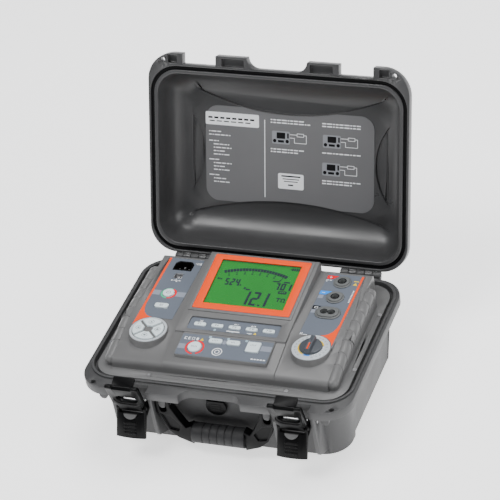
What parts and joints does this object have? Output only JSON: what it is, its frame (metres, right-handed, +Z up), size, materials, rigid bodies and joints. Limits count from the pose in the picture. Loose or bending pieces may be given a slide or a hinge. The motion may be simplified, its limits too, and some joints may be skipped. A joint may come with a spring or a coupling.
{
  "type": "insulation resistance tester in a carry case",
  "caption": "Portable insulation resistance tester built into a grey carry case, with a hinged lid, green display, keys, selector knob, sockets, latches and carry handle.",
  "frame": {"origin": "centre of the flat underside of the case", "axes": "+X to the user's right, +Y towards the hinges, +Z up"},
  "size_m": [0.39, 0.4646, 0.3921],
  "materials": {
    "case_plastic": "fine moulded grain",
    "lid_plastic": "fine moulded grain",
    "panel_plastic": "smooth matte",
    "black_plastic": "satin",
    "release_plastic": "satin",
    "grip_rubber": "soft matte",
    "gasket_rubber": "soft matte",
    "steel": "brushed",
    "bezel_orange": "semi gloss",
    "window_clear": "clear",
    "lcd_green": "backlit",
    "label_sheet": "printed sheet",
    "lid_sheet": "printed sheet",
    "ring_pale": "smooth",
    "key_pale": "smooth",
    "socket_plastic": "satin",
    "knob_plastic": "satin",
    "board_green": "solder mask",
    "battery_wrap": "shrink wrap"
  },
  "bodies": {
    "case": {"base_shell": "case_plastic", "pressure_valve": "black_plastic", "hinge_pins": "steel", "handle_pins": "steel", "latch_pins": "steel", "panel_plate": "panel_plastic", "panel_screws": "steel", "display_bezel": "bezel_orange", "display_window": "window_clear", "lcd_module": "lcd_green", "left_label": "label_sheet", "right_label": "label_sheet", "fkey_label": "label_sheet", "keypad_label": "label_sheet", "nav_ring": "ring_pale", "dial_ring": "ring_pale", "mains_inlet": "black_plastic", "inlet_pins": "steel", "usb_socket": "steel", "socket_plus": "socket_plastic", "socket_minus": "socket_plastic", "socket_guard": "socket_plastic", "socket_contacts": "steel", "main_board": "board_green", "keypad_mats": "gasket_rubber", "selector_switch": "black_plastic", "battery_pack": "battery_wrap", "hv_module": "black_plastic", "power_board": "board_green"},
    "lid": {"lid_shell": "lid_plastic", "lid_gasket": "gasket_rubber", "lid_label": "lid_sheet"},
    "handle": {"handle_frame": "black_plastic", "handle_grip": "grip_rubber"},
    "left_latch": {"latch_left_lever": "black_plastic", "latch_left_release": "release_plastic"},
    "left_claw_pin": {"latch_left_pin": "steel"},
    "left_claw": {"latch_left_claw": "black_plastic"},
    "right_latch": {"latch_right_lever": "black_plastic", "latch_right_release": "release_plastic"},
    "right_claw_pin": {"latch_right_pin": "steel"},
    "right_claw": {"latch_right_claw": "black_plastic"},
    "knob": {"selector_knob": "knob_plastic", "knob_pointer": "bezel_orange"},
    "key_power_body": {"key_power": "key_pale"},
    "key_light_body": {"key_light": "key_pale"},
    "key_up_body": {"key_up": "key_pale"},
    "key_down_body": {"key_down": "key_pale"},
    "key_left_body": {"key_left": "key_pale"},
    "key_right_body": {"key_right": "key_pale"},
    "key_f1_body": {"key_f1": "key_pale"},
    "key_f2_body": {"key_f2": "key_pale"},
    "key_f3_body": {"key_f3": "key_pale"},
    "key_f4_body": {"key_f4": "key_pale"},
    "key_f5_body": {"key_f5": "key_pale"},
    "key_enter_body": {"key_enter": "key_pale"},
    "key_esc_body": {"key_esc": "key_pale"},
    "key_start_body": {"key_start": "key_pale"},
    "key_menu_body": {"key_menu": "key_pale"}
  },
  "joints": [
    {"name": "lid_hinge", "type": "hinge", "parent": "case", "child": "lid", "pos_m": [0, 0.145, 0.112], "axis": [1, 0, 0], "range_deg": [0, 111.3]},
    {"name": "handle_swing", "type": "hinge", "parent": "case", "child": "handle", "pos_m": [0, -0.136, 0.08], "axis": [-1, 0, 0], "range_deg": [0, 90]},
    {"name": "left_latch_lever", "type": "hinge", "parent": "case", "child": "left_latch", "pos_m": [-0.117, -0.138, 0.08], "axis": [-1, 0, 0], "range_deg": [-25, 35]},
    {"name": "left_claw_carry", "type": "hinge", "parent": "left_latch", "child": "left_claw_pin", "pos_m": [-0.117, -0.15226, 0.07782], "axis": [-1, 0, 0], "range_deg": [-35, 25]},
    {"name": "left_claw_tilt", "type": "hinge", "parent": "left_claw_pin", "child": "left_claw", "pos_m": [-0.117, -0.15226, 0.07782], "axis": [1, 0, 0], "range_deg": [-20, 25]},
    {"name": "right_latch_lever", "type": "hinge", "parent": "case", "child": "right_latch", "pos_m": [0.117, -0.138, 0.08], "axis": [-1, 0, 0], "range_deg": [-25, 35]},
    {"name": "right_claw_carry", "type": "hinge", "parent": "right_latch", "child": "right_claw_pin", "pos_m": [0.117, -0.15226, 0.07782], "axis": [-1, 0, 0], "range_deg": [-35, 25]},
    {"name": "right_claw_tilt", "type": "hinge", "parent": "right_claw_pin", "child": "right_claw", "pos_m": [0.117, -0.15226, 0.07782], "axis": [1, 0, 0], "range_deg": [-20, 25]},
    {"name": "selector_turn", "type": "hinge", "parent": "case", "child": "knob", "pos_m": [0.1191, -0.0569, 0.1387], "axis": [0, 0, -1], "range_deg": [0, 300]},
    {"name": "press_power", "type": "slide", "parent": "case", "child": "key_power_body", "axis": [0, 0, -1], "range_m": [0, 0.0008], "stiffness_N_per_m": 800},
    {"name": "press_light", "type": "slide", "parent": "case", "child": "key_light_body", "axis": [0, 0, -1], "range_m": [0, 0.0008], "stiffness_N_per_m": 800},
    {"name": "press_up", "type": "slide", "parent": "case", "child": "key_up_body", "axis": [0, 0, -1], "range_m": [0, 0.0008], "stiffness_N_per_m": 800},
    {"name": "press_down", "type": "slide", "parent": "case", "child": "key_down_body", "axis": [0, 0, -1], "range_m": [0, 0.0008], "stiffness_N_per_m": 800},
    {"name": "press_left", "type": "slide", "parent": "case", "child": "key_left_body", "axis": [0, 0, -1], "range_m": [0, 0.0008], "stiffness_N_per_m": 800},
    {"name": "press_right", "type": "slide", "parent": "case", "child": "key_right_body", "axis": [0, 0, -1], "range_m": [0, 0.0008], "stiffness_N_per_m": 800},
    {"name": "press_f1", "type": "slide", "parent": "case", "child": "key_f1_body", "axis": [0, 0, -1], "range_m": [0, 0.0008], "stiffness_N_per_m": 800},
    {"name": "press_f2", "type": "slide", "parent": "case", "child": "key_f2_body", "axis": [0, 0, -1], "range_m": [0, 0.0008], "stiffness_N_per_m": 800},
    {"name": "press_f3", "type": "slide", "parent": "case", "child": "key_f3_body", "axis": [0, 0, -1], "range_m": [0, 0.0008], "stiffness_N_per_m": 800},
    {"name": "press_f4", "type": "slide", "parent": "case", "child": "key_f4_body", "axis": [0, 0, -1], "range_m": [0, 0.0008], "stiffness_N_per_m": 800},
    {"name": "press_f5", "type": "slide", "parent": "case", "child": "key_f5_body", "axis": [0, 0, -1], "range_m": [0, 0.0008], "stiffness_N_per_m": 800},
    {"name": "press_enter", "type": "slide", "parent": "case", "child": "key_enter_body", "axis": [0, 0.0941, -0.9956], "range_m": [0, 0.0008], "stiffness_N_per_m": 800},
    {"name": "press_esc", "type": "slide", "parent": "case", "child": "key_esc_body", "axis": [0, 0.0941, -0.9956], "range_m": [0, 0.0008], "stiffness_N_per_m": 800},
    {"name": "press_start", "type": "slide", "parent": "case", "child": "key_start_body", "axis": [0, 0.0941, -0.9956], "range_m": [0, 0.0008], "stiffness_N_per_m": 800},
    {"name": "press_menu", "type": "slide", "parent": "case", "child": "key_menu_body", "axis": [0, 0.0941, -0.9956], "range_m": [0, 0.0008], "stiffness_N_per_m": 800}
  ],
  "couplings": [
    {"joint": "left_claw_carry", "follows": "left_latch_lever", "ratio": -1},
    {"joint": "right_claw_carry", "follows": "right_latch_lever", "ratio": -1}
  ]
}
